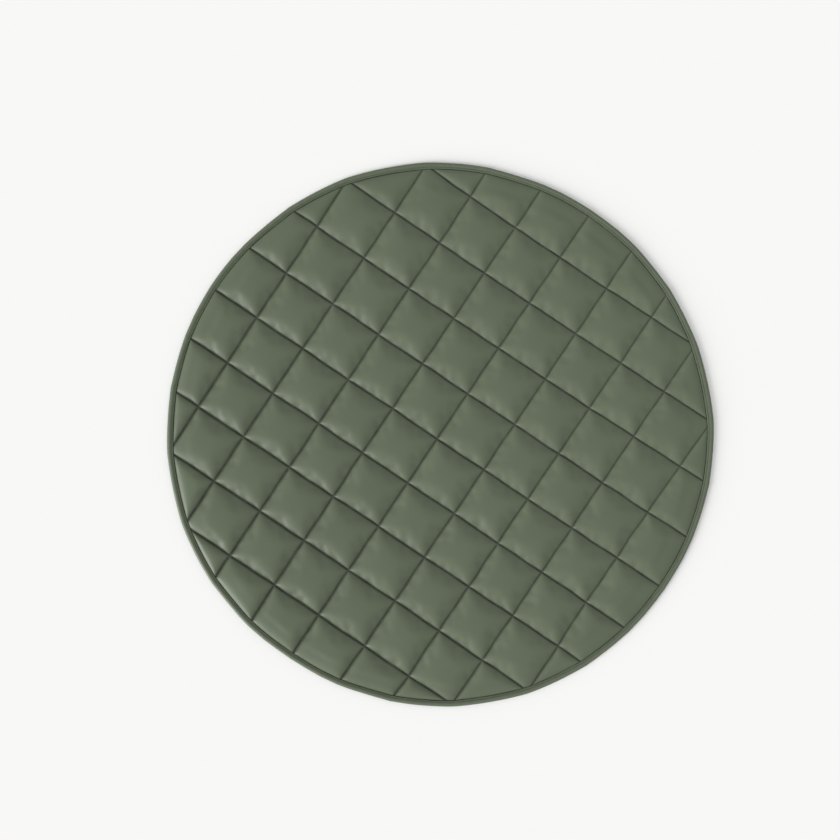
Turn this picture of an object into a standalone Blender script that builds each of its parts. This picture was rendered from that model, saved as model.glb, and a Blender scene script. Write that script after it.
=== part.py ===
"""Round quilted mat: one filled pad, sewn through in crossing channels, and the binding round its edge.

Metres. X runs along the lengthwise seams, Y along the crosswise seams, and Z is up.
The origin is the middle of the underside, where the mat lies on the floor.

The cloth is first laid out evenly: a round mat with straight seams at one pitch. The function
lie() then takes each point to its real place, so that the seams run as uneven as they were sewn
and the rim has its true outline.
"""

from collections import namedtuple
from math import atan2, degrees, exp, hypot, pi, radians, sin, sqrt

import bmesh
import bpy
import numpy as np
from mathutils import Vector

MM = 0.001

# The whole mat
MAT_RADIUS = 445 * MM
GAP = 0.3 * MM
ROUND_STEPS = 144

# The quilted squares
SEAM_PITCH = 88.3 * MM
SEAMS_EACH_WAY = 9
SQUARES_PAST_MIDDLE = 5
CHANNEL_TOP = 3.0 * MM
CROWN_RISE = 6.8 * MM
UNDER_CHANNEL_RISE = 1.5 * MM
UNDER_CHANNEL_REACH = 0.1 * SEAM_PITCH

# The crown of a square: how far from a seam its shoulder reaches and how round it is, how sharply
# its four flanks meet at the corners, and how it falls to the binding
SHOULDER_REACH = 15.5 * MM
SHOULDER_POWER = 1.4
MITRE = 2.5
RIM_FULLNESS = 1.1
RIM_SHOULDER_REACH = 10 * MM

# Places of the cut lines in a square, as shares of the pitch, on the face and on the underside
FACE_LINES = (0.0, 0.13, 0.27, 0.5, 0.73, 0.87)
UNDER_LINES = (0.0, 0.1, 0.9)
CUT_SNAP = 0.4 * MM
SLIVER = 0.01 * MM
SHARP_ANGLE = radians(36)

# The binding, folded over the rim of the pad
BINDING_WIDTH = 10.4 * MM
BINDING_CLOTH = 1.1 * MM
BINDING_WALL = 1.6 * MM
RIM_THICKNESS = 2.8 * MM
RIM_BOTTOM = BINDING_CLOTH + GAP
RIM_TOP = RIM_BOTTOM + RIM_THICKNESS
PAD_RADIUS = MAT_RADIUS - BINDING_WALL - GAP
RIM_BAND_WIDTH = 12 * MM
RIM_BAND_RADIUS = MAT_RADIUS - RIM_BAND_WIDTH
RIM_SLOPE_WIDTH = 6 * MM
SQUARES_RADIUS = RIM_BAND_RADIUS - RIM_SLOPE_WIDTH

# How the rim is drawn in between the ends of the seams, and how far in from it that is felt
DRAWN_IN = 1.2 * MM
RIM_PULL_REACH = 60 * MM

# Each seam in millimetres: its place at the middle of the mat, and what its lean and its bow add
# to that at the rim
Seam = namedtuple("Seam", "at lean bow")

LENGTHWISE_SEAMS = (
    Seam(-356.5, -4.4, -3.6),
    Seam(-268.2, -1.9, -2.7),
    Seam(-181.8, -1.1, -0.1),
    Seam(-95.9, -1.3, -0.4),
    Seam(-9.2, -1.5, 1.6),
    Seam(79.9, 0.1, 1.9),
    Seam(169.8, 0.5, 3.7),
    Seam(259.4, -0.4, 3.6),
    Seam(348.9, -1.1, 8.9),
)

CROSSWISE_SEAMS = (
    Seam(-354.7, -1.9, 1.4),
    Seam(-264.2, 3.2, 1.7),
    Seam(-174.1, 2.5, -1.2),
    Seam(-87.7, 3.4, 2.1),
    Seam(0.6, 4.4, 1.3),
    Seam(92.3, 4.5, -0.8),
    Seam(178.6, 4.6, 1.2),
    Seam(264.2, 4.1, 2.1),
    Seam(352.7, 5.9, 8.8),
)

# The rim at the ends of the seams: bearing from X in degrees, and millimetres out from a true circle
Rim = namedtuple("Rim", "bearing out")

RIM_OUTLINE = (
    Rim(0, 1.7),
    Rim(30, 3.6),
    Rim(60, 0.3),
    Rim(75, -1.3),
    Rim(90, -3.1),
    Rim(105, -3.4),
    Rim(120, -0.6),
    Rim(150, 1.2),
    Rim(165, 0.4),
    Rim(180, 1.7),
    Rim(210, 2.4),
    Rim(240, 2.4),
    Rim(255, -0.3),
    Rim(270, -3.1),
    Rim(285, -1.5),
    Rim(300, 1.4),
    Rim(330, 3.9),
    Rim(360, 1.7),
)

# The outside of the binding in millimetres, from its lip on the face, over the roll, to its
# lip on the underside: how far in from the edge, and how high
Turn = namedtuple("Turn", "inward height")

BINDING_OUTSIDE = (
    Turn(10.4, 5.1),
    Turn(9.4, 5.4),
    Turn(7.8, 5.2),
    Turn(5.6, 5.9),
    Turn(2.8, 5.8),
    Turn(0.8, 4.6),
    Turn(0.0, 2.8),
    Turn(0.7, 1.1),
    Turn(2.4, 0.0),
    Turn(10.4, 0.0),
)

# Colours are linear
PAD_COLOUR = (0.104, 0.129, 0.083, 1.0)
BINDING_COLOUR = (0.107, 0.131, 0.086, 1.0)
CLOTH_ROUGHNESS = 0.55


def ease(share):
    """Runs softly from 0 to 1 as share does."""
    share = min(max(share, 0.0), 1.0)
    return share * share * (3 - 2 * share)


def even_places():
    """Where the seams of one direction would lie in an evenly sewn mat."""
    middle = (SEAMS_EACH_WAY - 1) / 2
    return [(number - middle) * SEAM_PITCH for number in range(SEAMS_EACH_WAY)]


def sewn(seams, across, along):
    """Moves a coordinate across the seams from its even place to its place as sewn."""
    reach = along / MAT_RADIUS
    even = even_places()
    real = [(seam.at + seam.lean * reach + seam.bow * reach**2) * MM for seam in seams]
    shifts = [there - here for there, here in zip(real, even)]
    return across + float(np.interp(across, even, shifts))


def rim_out(bearing):
    """How far the rim stands out from a true circle at a bearing in degrees."""
    for before, after in zip(RIM_OUTLINE, RIM_OUTLINE[1:]):
        if bearing <= after.bearing:
            share = (bearing - before.bearing) / (after.bearing - before.bearing)
            return (before.out + (after.out - before.out) * ease(share)) * MM
    return RIM_OUTLINE[-1].out * MM


def between_seams(across):
    """0 on a seam and 1 midway between two, for the even coordinate across the seams."""
    return abs(sin(pi * across / SEAM_PITCH))


def lie(x, y):
    """Takes a point of the evenly laid out cloth to its place in the real mat."""
    place = Vector((sewn(CROSSWISE_SEAMS, x, y), sewn(LENGTHWISE_SEAMS, y, x)))
    radius = hypot(x, y)
    felt = ease((radius - MAT_RADIUS + RIM_PULL_REACH) / RIM_PULL_REACH)
    if felt == 0.0:
        return place
    rim_x = x * MAT_RADIUS / radius
    rim_y = y * MAT_RADIUS / radius
    rim = Vector((sewn(CROSSWISE_SEAMS, rim_x, rim_y), sewn(LENGTHWISE_SEAMS, rim_y, rim_x)))
    bearing = degrees(atan2(rim.y, rim.x)) % 360
    drawn_in = DRAWN_IN * sqrt(between_seams(rim_x) * between_seams(rim_y))
    wanted = MAT_RADIUS + rim_out(bearing) - drawn_in
    return place + rim.normalized() * (wanted - rim.length) * felt


def to_seam(across):
    """Distance to the nearest seam, for the even coordinate across the seams."""
    return abs(across - SEAM_PITCH * round(across / SEAM_PITCH))


def swelling(distance):
    """How full the cloth stands at a distance from a seam: 0 on it and 1 midway between two."""
    most = 1 - exp(-((SEAM_PITCH / 2 / SHOULDER_REACH) ** SHOULDER_POWER))
    return (1 - exp(-((distance / SHOULDER_REACH) ** SHOULDER_POWER))) / most


def face_height(x, y):
    """Height of the pad's face: mitred squares between sewn channels, flat inside the binding."""
    to_rim = RIM_BAND_RADIUS - hypot(x, y)
    if to_rim <= CUT_SNAP:
        return RIM_TOP
    if min(to_seam(x), to_seam(y)) <= CUT_SNAP:
        return CHANNEL_TOP
    at_rim = RIM_FULLNESS * (1 - exp(-to_rim / RIM_SHOULDER_REACH))
    held = (swelling(to_seam(x)), swelling(to_seam(y)), at_rim)
    most = (2 + RIM_FULLNESS**-MITRE) ** (-1 / MITRE)
    rise = sum(part**-MITRE for part in held) ** (-1 / MITRE)
    return CHANNEL_TOP + CROWN_RISE * rise / most


def underside_height(x, y):
    """Height of the pad's underside: flat squares on the floor, shallow channels between them."""
    radius = hypot(x, y)
    rim = RIM_BOTTOM * ease((radius - SQUARES_RADIUS) / (RIM_BAND_RADIUS - CUT_SNAP - SQUARES_RADIUS))
    nearest = min(to_seam(x), to_seam(y))
    if radius > SQUARES_RADIUS + CUT_SNAP or nearest > UNDER_CHANNEL_REACH - CUT_SNAP:
        return rim
    return max(rim, UNDER_CHANNEL_RISE * (1 - nearest / UNDER_CHANNEL_REACH))


def cut_squares(bm, cap, shares):
    """Cuts one flat cap along its seams and the lines between them, both ways.

    Args:
        bm: the mesh that holds the cap.
        cap: the face to cut.
        shares: places of the lines in one square, as shares of the pitch.
    """
    squares = range(-SQUARES_PAST_MIDDLE, SQUARES_PAST_MIDDLE)
    lines = [(square + share) * SEAM_PITCH for square in squares for share in shares]
    pieces = [cap, *cap.edges, *cap.verts]
    for direction in (Vector((1, 0, 0)), Vector((0, 1, 0))):
        for line in lines:
            cut = bmesh.ops.bisect_plane(
                bm, geom=pieces, dist=CUT_SNAP, plane_co=direction * line, plane_no=direction
            )
            pieces = cut["geom"]


def inset(bm, cap, width):
    """Draws a cap in by a width and returns the smaller cap."""
    bmesh.ops.inset_region(bm, faces=[cap], thickness=width, use_even_offset=True)
    return cap


def finish_mesh(bm, name):
    """Closes off a mesh: triangles, faces pointing out, no slivers."""
    bmesh.ops.dissolve_degenerate(bm, dist=SLIVER, edges=bm.edges)
    bmesh.ops.triangulate(bm, faces=bm.faces, quad_method="BEAUTY", ngon_method="BEAUTY")
    bmesh.ops.recalc_face_normals(bm, faces=bm.faces)
    mesh = bpy.data.meshes.new(name)
    bm.to_mesh(mesh)
    bm.free()
    mesh.shade_smooth()
    mesh.set_sharp_from_angle(angle=SHARP_ANGLE)
    return mesh


def pad_mesh():
    """The filled pad: a disc whose two caps are cut into squares, crowned and sewn through.

    The cells are split along their longer diagonals while they are still even, so that the
    splits follow the mitres at the corners of the squares.
    """
    bm = bmesh.new()
    bmesh.ops.create_cone(
        bm,
        cap_ends=True,
        segments=ROUND_STEPS,
        radius1=PAD_RADIUS,
        radius2=PAD_RADIUS,
        depth=RIM_THICKNESS,
    )
    caps = sorted((face for face in bm.faces if len(face.verts) > 4), key=lambda cap: cap.normal.z)
    for cap, shares in zip(caps, (UNDER_LINES, FACE_LINES)):
        band = inset(bm, cap, PAD_RADIUS - RIM_BAND_RADIUS)
        cut_squares(bm, inset(bm, band, RIM_BAND_RADIUS - SQUARES_RADIUS), shares)
    for vert in bm.verts:
        x, y, z = vert.co
        vert.co.z = face_height(x, y) if z > 0 else underside_height(x, y)
    bmesh.ops.triangulate(bm, faces=bm.faces, quad_method="LONG_EDGE", ngon_method="BEAUTY")
    for vert in bm.verts:
        x, y, height = vert.co
        vert.co = (*lie(x, y), height)
    return finish_mesh(bm, "quilted_pad")


def binding_section():
    """The binding's closed section, its outside first and then the groove for the pad's rim."""
    outside = [(MAT_RADIUS - turn.inward * MM, turn.height * MM) for turn in BINDING_OUTSIDE]
    mouth = MAT_RADIUS - BINDING_WIDTH
    wall = MAT_RADIUS - BINDING_WALL
    floor = BINDING_CLOTH
    roof = RIM_TOP + GAP
    return outside + [(mouth, floor), (wall, floor), (wall, roof), (mouth, roof)]


def binding_mesh():
    """The binding: its section turned round the mat and then drawn to the real outline."""
    bm = bmesh.new()
    verts = [bm.verts.new((radius, 0, height)) for radius, height in binding_section()]
    edges = [bm.edges.new(pair) for pair in zip(verts, verts[1:] + verts[:1])]
    bmesh.ops.spin(
        bm,
        geom=verts + edges,
        cent=(0, 0, 0),
        axis=(0, 0, 1),
        angle=2 * pi,
        steps=ROUND_STEPS,
        use_merge=True,
    )
    for vert in bm.verts:
        x, y, height = vert.co
        vert.co = (*lie(x, y), height)
    return finish_mesh(bm, "edge_binding")


def cloth_material(name, colour):
    """A plain smooth-coated cloth."""
    material = bpy.data.materials.new(name)
    material.use_nodes = True
    shader = material.node_tree.nodes["Principled BSDF"]
    shader.inputs["Base Color"].default_value = colour
    shader.inputs["Roughness"].default_value = CLOTH_ROUGHNESS
    shader.inputs["Metallic"].default_value = 0.0
    material.diffuse_color = colour
    return material


def add_piece(collection, mesh, material):
    """Puts a mesh into the mat's collection as an object of the same name."""
    mesh.materials.append(material)
    collection.objects.link(bpy.data.objects.new(mesh.name, mesh))


def main():
    """Builds the mat on an empty scene."""
    for left_over in list(bpy.data.objects):
        bpy.data.objects.remove(left_over, do_unlink=True)
    collection = bpy.data.collections.new("quilted_mat")
    bpy.context.scene.collection.children.link(collection)
    add_piece(collection, pad_mesh(), cloth_material("pad_cloth", PAD_COLOUR))
    add_piece(collection, binding_mesh(), cloth_material("binding_cloth", BINDING_COLOUR))


main()
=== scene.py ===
"""Looks of the round quilted mat: its padded face, its binding, its stitches and its finishes.

Everything is in metres, in the frame of the CAD model. X runs along the lengthwise seams, Y along
the crosswise seams and Z is up from the floor.

The cloth is worked out as it was before sewing, an even round sheet with straight seams at one
pitch. ClothLay then takes each of its points to where it lies in the real mat.
"""

import logging
from dataclasses import dataclass, field
from enum import Enum
from math import cos, pi, radians, sin
from typing import NamedTuple

import bmesh
import bpy
import numpy as np
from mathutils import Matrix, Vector
from mathutils.geometry import delaunay_2d_cdt


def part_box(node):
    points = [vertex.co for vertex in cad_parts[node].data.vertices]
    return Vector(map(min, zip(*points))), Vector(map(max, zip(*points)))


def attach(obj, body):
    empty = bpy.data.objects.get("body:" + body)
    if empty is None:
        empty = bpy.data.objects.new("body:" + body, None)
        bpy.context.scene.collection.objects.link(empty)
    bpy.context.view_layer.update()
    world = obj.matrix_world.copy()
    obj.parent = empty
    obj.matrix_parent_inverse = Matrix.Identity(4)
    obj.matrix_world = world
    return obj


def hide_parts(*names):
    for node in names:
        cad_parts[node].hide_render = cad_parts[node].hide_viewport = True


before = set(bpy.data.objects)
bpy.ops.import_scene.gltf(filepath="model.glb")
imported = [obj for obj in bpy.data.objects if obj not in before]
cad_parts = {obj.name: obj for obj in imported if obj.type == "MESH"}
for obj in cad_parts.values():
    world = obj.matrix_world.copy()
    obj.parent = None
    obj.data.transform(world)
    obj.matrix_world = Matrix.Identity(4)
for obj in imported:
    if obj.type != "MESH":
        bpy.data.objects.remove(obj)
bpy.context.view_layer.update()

MM = 0.001
TOUCHING = MM / 10
BODY = "root"
PAD_NODE = "quilted_pad"
BINDING_NODE = "edge_binding"
SEWN_GROUP = "sewn"
PLAIN_GREY = (0.5, 0.5, 0.5, 1.0)

# Distances that the meshes store in millimetres for the finishes, and one that is out of reach
TO_SEAM = "to_seam"
TO_LIP = "to_lip"
OUT_OF_REACH = 50.0

log = logging.getLogger("quilted_mat")


class SeamRun(Enum):
    """The two directions in which the quilting seams run."""

    LENGTHWISE = "lengthwise"
    CROSSWISE = "crosswise"


class Side(Enum):
    """The two sides of the mat. The value is the direction that the side faces along Z."""

    FACE = 1
    UNDERSIDE = -1


class Seam(NamedTuple):
    """One seam in millimetres: its place at the middle, and what lean and bow add at the rim."""

    at: float
    lean: float
    bow: float


class RimPoint(NamedTuple):
    """How far out the rim stands, in millimetres, at a bearing from X in degrees."""

    bearing: float
    out: float


class Turn(NamedTuple):
    """A point of the binding's section in millimetres: in from the edge, and up."""

    inward: float
    height: float


SEAMS = {
    SeamRun.LENGTHWISE: (
        Seam(-356.5, -4.4, -3.6), Seam(-268.2, -1.9, -2.7), Seam(-181.8, -1.1, -0.1),
        Seam(-95.9, -1.3, -0.4), Seam(-9.2, -1.5, 1.6), Seam(79.9, 0.1, 1.9),
        Seam(169.8, 0.5, 3.7), Seam(259.4, -0.4, 3.6), Seam(348.9, -1.1, 8.9),
    ),
    SeamRun.CROSSWISE: (
        Seam(-354.7, -1.9, 1.4), Seam(-264.2, 3.2, 1.7), Seam(-174.1, 2.5, -1.2),
        Seam(-87.7, 3.4, 2.1), Seam(0.6, 4.4, 1.3), Seam(92.3, 4.5, -0.8),
        Seam(178.6, 4.6, 1.2), Seam(264.2, 4.1, 2.1), Seam(352.7, 5.9, 8.8),
    ),
}

RIM_OUTLINE = (
    RimPoint(0, 1.7), RimPoint(30, 3.6), RimPoint(60, 0.3), RimPoint(75, -1.3), RimPoint(90, -3.1),
    RimPoint(105, -3.4), RimPoint(120, -0.6), RimPoint(150, 1.2), RimPoint(165, 0.4),
    RimPoint(180, 1.7), RimPoint(210, 2.4), RimPoint(240, 2.4), RimPoint(255, -0.3),
    RimPoint(270, -3.1), RimPoint(285, -1.5), RimPoint(300, 1.4), RimPoint(330, 3.9),
    RimPoint(360, 1.7),
)

# The lip, the face with its stitched line, and the rolled edge
SHOWN_SECTION = (
    Turn(9.95, 4.2), Turn(10.0, 4.45), Turn(9.8, 4.68), Turn(9.3, 4.85), Turn(8.7, 5.0),
    Turn(8.1, 5.1), Turn(7.6, 5.1), Turn(7.0, 5.25), Turn(6.2, 5.55), Turn(5.3, 5.8),
    Turn(4.3, 5.95), Turn(3.3, 5.9), Turn(2.3, 5.6), Turn(1.35, 4.95), Turn(0.6, 4.15),
    Turn(0.15, 3.35),
)

# The rest of the edge, the underside with its stitched line, the turned-in edge and the groove
HIDDEN_SECTION = (
    Turn(0.0, 2.7), Turn(0.15, 2.0), Turn(0.6, 1.25), Turn(1.3, 0.55), Turn(2.2, 0.12),
    Turn(3.2, 0.0), Turn(5.2, 0.0), Turn(7.0, 0.05), Turn(7.6, 0.3), Turn(8.2, 0.05),
    Turn(9.6, 0.0), Turn(10.2, 0.15), Turn(10.35, 0.6), Turn(10.2, 1.1), Turn(6.0, 1.1),
    Turn(1.6, 1.1), Turn(1.6, 2.8), Turn(1.6, 4.5), Turn(4.5, 4.5), Turn(7.5, 4.35),
    Turn(9.9, 4.0),
)


def ease(share: np.ndarray) -> np.ndarray:
    """Runs softly from 0 to 1 as share does."""
    share = np.clip(share, 0.0, 1.0)
    return share * share * (3 - 2 * share)


def bell(distance: np.ndarray, width: float) -> np.ndarray:
    """1 at no distance, falling to 0 some widths away."""
    return np.exp(-((distance / width) ** 2))


def circle_points(count: int) -> np.ndarray:
    """Points evenly round a circle of radius 1, as rows of x and y."""
    turn = np.arange(count) * 2 * pi / count
    return np.stack([np.cos(turn), np.sin(turn)], -1)


def new_mesh(name: str, points: np.ndarray, faces: list[list[int]]) -> bpy.types.Mesh:
    """Makes a mesh of points and faces.

    Args:
        name: the mesh's name.
        points: its points, with x, y and z along the last axis.
        faces: the numbers of each face's points.

    Returns:
        The new mesh.
    """
    mesh = bpy.data.meshes.new(name)
    mesh.from_pydata(points.reshape(-1, 3).tolist(), [], faces)
    return mesh


def new_object(name: str, data: bpy.types.ID) -> bpy.types.Object:
    """Puts a mesh, a light or a camera into the scene as an object of that name.

    Args:
        name: the object's name.
        data: the mesh, light or camera.

    Returns:
        The new object.
    """
    made = bpy.data.objects.new(name, data)
    bpy.context.scene.collection.objects.link(made)
    return made


def new_piece(name: str, mesh: bpy.types.Mesh, material: bpy.types.Material) -> bpy.types.Object:
    """Puts a smooth mesh in one finish into the scene.

    Args:
        name: the piece's name.
        mesh: its mesh.
        material: its finish.

    Returns:
        The new piece.
    """
    mesh.shade_smooth()
    mesh.materials.append(material)
    return new_object(name, mesh)


def add_distance(mesh: bpy.types.Mesh, name: str, distance: np.ndarray) -> None:
    """Stores a distance, in millimetres, for each point of a mesh."""
    layer = mesh.attributes.new(name, "FLOAT", "POINT")
    layer.data.foreach_set("value", distance.astype(np.float32).ravel())


@dataclass(frozen=True)
class Ripple:
    """Soft uneven waves of about a height, the same on each run."""

    seed: int
    shortest: float
    longest: float
    height: float = 1.0
    waves: int = 14

    def at(self, *places: np.ndarray) -> np.ndarray:
        """Adds up waves over places with any number of coordinates.

        Args:
            places: one array for each coordinate, in metres.

        Returns:
            Values of about minus to plus the height.
        """
        draw = np.random.default_rng(self.seed)
        total = 0.0
        for _ in range(self.waves):
            length = self.shortest * (self.longest / self.shortest) ** draw.random()
            direction = draw.normal(size=len(places))
            direction /= np.linalg.norm(direction)
            phase = draw.random() * 2 * pi
            travel = sum(part * place for part, place in zip(direction, places))
            total = total + np.sin(2 * pi * travel / length + phase)
        return self.height * (total / np.sqrt(2 * self.waves))


@dataclass(frozen=True)
class ClothLay:
    """Where the evenly laid out cloth really lies: the run of its seams and its outline.

    The seams and the rim are read off the photograph as real sizes.
    """

    radius: float = 445 * MM
    pitch: float = 88.3 * MM
    squares_past_middle: int = 5
    drawn_in: float = 1.2 * MM
    pull_reach: float = 60 * MM
    waver: float = 0.7 * MM
    waver_ends: float = 20 * MM
    waver_x: Ripple = Ripple(11, 50 * MM, 200 * MM)
    waver_y: Ripple = Ripple(12, 50 * MM, 200 * MM)

    def even_seams(self) -> np.ndarray:
        """Where the seams of one direction would lie if they were sewn evenly."""
        count = len(SEAMS[SeamRun.LENGTHWISE])
        return (np.arange(count) - (count - 1) / 2) * self.pitch

    def between_seams(self, across: np.ndarray) -> np.ndarray:
        """0 on a seam and 1 midway between two."""
        return np.abs(np.sin(pi * across / self.pitch))

    def to_seam(self, across: np.ndarray) -> np.ndarray:
        """Distance to the nearest seam of one direction."""
        return np.abs(across - self.pitch * np.round(across / self.pitch))

    def sewn(self, run: SeamRun, across: np.ndarray, along: np.ndarray) -> np.ndarray:
        """Moves coordinates across the seams to where they lie once sewn.

        Args:
            run: the direction of the seams.
            across: even coordinates across the seams.
            along: coordinates along the seams.

        Returns:
            The real coordinates across the seams.
        """
        reach = along / self.radius
        even = self.even_seams()
        number = np.clip(np.floor((across - even[0]) / self.pitch).astype(int), 0, len(even) - 2)
        share = np.clip((across - even[number]) / self.pitch, 0.0, 1.0)
        at, lean, bow = np.array(SEAMS[run]).T
        before, after = (
            (at[seam] + lean[seam] * reach + bow[seam] * reach**2) * MM - even[seam]
            for seam in (number, number + 1)
        )
        return across + before + (after - before) * share

    def rim_out(self, bearing: np.ndarray) -> np.ndarray:
        """How far out the rim stands at bearings in degrees, eased from row to row.

        Args:
            bearing: bearings from X, from 0 up to 360.

        Returns:
            Lengths in metres, minus where the rim stands in.
        """
        rows, out = np.array(RIM_OUTLINE).T
        out = out * MM
        row = np.clip(np.searchsorted(rows, bearing, side="right") - 1, 0, len(rows) - 2)
        share = ease((bearing - rows[row]) / (rows[row + 1] - rows[row]))
        return out[row] + (out[row + 1] - out[row]) * share

    def lie(self, x: np.ndarray, y: np.ndarray, height: np.ndarray) -> np.ndarray:
        """Takes points of the even cloth to their places in the real mat.

        Args:
            x: even coordinates along the lengthwise seams.
            y: even coordinates along the crosswise seams.
            height: heights above the floor, which stay as they are.

        Returns:
            The real places, with x, y and z along the last axis.
        """
        radius = np.maximum(np.hypot(x, y), MM)
        rim_x = x * self.radius / radius
        rim_y = y * self.radius / radius
        real_x = self.sewn(SeamRun.CROSSWISE, rim_x, rim_y)
        real_y = self.sewn(SeamRun.LENGTHWISE, rim_y, rim_x)
        length = np.hypot(real_x, real_y)
        bearing = np.degrees(np.arctan2(real_y, real_x)) % 360
        between = np.sqrt(self.between_seams(rim_x) * self.between_seams(rim_y))
        pull = self.radius + self.rim_out(bearing) - self.drawn_in * between - length
        felt = ease((radius - self.radius + self.pull_reach) / self.pull_reach) * pull / length
        free = self.waver * ease((self.radius - self.waver_ends - radius) / self.waver_ends)
        sewn_x = self.sewn(SeamRun.CROSSWISE, x, y) + real_x * felt + self.waver_x.at(x, y) * free
        sewn_y = self.sewn(SeamRun.LENGTHWISE, y, x) + real_y * felt + self.waver_y.at(x, y) * free
        return np.stack([sewn_x, sewn_y, height], -1)


class Nodes:
    """A shader node tree under construction."""

    def __init__(self, tree: bpy.types.NodeTree) -> None:
        """Takes the tree that the nodes are added to."""
        self.tree = tree

    def fill(self, socket: bpy.types.NodeSocket, value: object) -> None:
        """Links an input to the output that is given, or sets it to the plain value.

        Args:
            socket: the input.
            value: another node's output or a plain value.
        """
        if isinstance(value, bpy.types.NodeSocket):
            self.tree.links.new(value, socket)
        else:
            socket.default_value = value

    def add(
        self, kind: str, settings: dict[str, object] | None = None, **inputs: object
    ) -> bpy.types.NodeOutputs:
        """Adds a node, sets its properties and fills its inputs.

        Args:
            kind: the node's type.
            settings: properties of the node itself.
            inputs: a value or another node's output for each input, with _ for a space.

        Returns:
            The new node's outputs.
        """
        node = self.tree.nodes.new(kind)
        for title, value in (settings or {}).items():
            setattr(node, title, value)
        for title, value in inputs.items():
            self.fill(node.inputs[title.replace("_", " ")], value)
        return node.outputs

    def math(self, operation: str, *values: object) -> bpy.types.NodeSocket:
        """Adds a Math node.

        Args:
            operation: the node's operation.
            values: a plain value or another node's output for each input.

        Returns:
            The node's output.
        """
        node = self.tree.nodes.new("ShaderNodeMath")
        node.operation = operation
        for socket, value in zip(node.inputs, values):
            self.fill(socket, value)
        return node.outputs[0]

    def place(self) -> bpy.types.NodeSocket:
        """The place on the object, as a new node puts it out."""
        return self.add("ShaderNodeTexCoord")["Object"]


class EffectNodes(Nodes):
    """A shader node group under construction, with named inputs and outputs."""

    def __init__(self, name: str, **inputs: object) -> None:
        """Makes a group with its inputs.

        Args:
            name: the group's name.
            inputs: starting value of each input, a number or a colour of four numbers, with _ for
                a space.
        """
        super().__init__(bpy.data.node_groups.new(name, "ShaderNodeTree"))
        for title, value in inputs.items():
            made = self.new_socket(title.replace("_", " "), "INPUT", isinstance(value, tuple))
            made.default_value = value
        self.source = self.tree.nodes.new("NodeGroupInput").outputs

    def new_socket(self, title: str, way: str, is_colour: bool) -> bpy.types.NodeTreeInterfaceSocket:
        """Adds an input or an output to the group, for a colour or for a number."""
        kind = "NodeSocketColor" if is_colour else "NodeSocketFloat"
        return self.tree.interface.new_socket(title, in_out=way, socket_type=kind)

    def put_out(self, **results: bpy.types.NodeSocket) -> bpy.types.NodeTree:
        """Gives the group its outputs.

        Args:
            results: another node's output for each output of the group.

        Returns:
            The finished group.
        """
        for title in results:
            self.new_socket(title, "OUTPUT", title == "Color")
        outputs = self.tree.nodes.new("NodeGroupOutput").inputs
        for title, value in results.items():
            self.fill(outputs[title], value)
        return self.tree

    def scaled_colour(self, gain: bpy.types.NodeSocket) -> bpy.types.NodeSocket:
        """The group's own colour, made lighter or darker by a gain."""
        scale = {"operation": "SCALE"}
        return self.add("ShaderNodeVectorMath", scale, Vector=self.source["Color"], Scale=gain)[0]


class FinishNodes(Nodes):
    """The nodes of a new material, round its shader."""

    def __init__(self, name: str) -> None:
        """Makes the material.

        Args:
            name: the material's name.
        """
        self.material = bpy.data.materials.new(name)
        self.material.use_nodes = True
        super().__init__(self.material.node_tree)
        self.shader = self.tree.nodes["Principled BSDF"].inputs

    def effect(self, group: bpy.types.NodeTree, **inputs: object) -> bpy.types.NodeOutputs:
        """Places a shared effect with this material's own values and returns its outputs."""
        return self.add("ShaderNodeGroup", {"node_tree": group}, **inputs)

    def raise_by(self, height: bpy.types.NodeSocket, strength: float, depth: float) -> None:
        """Tilts the shader's normal by a height that changes over the surface."""
        bump = self.add("ShaderNodeBump", Height=height, Strength=strength, Distance=depth)
        self.fill(self.shader["Normal"], bump["Normal"])


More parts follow.
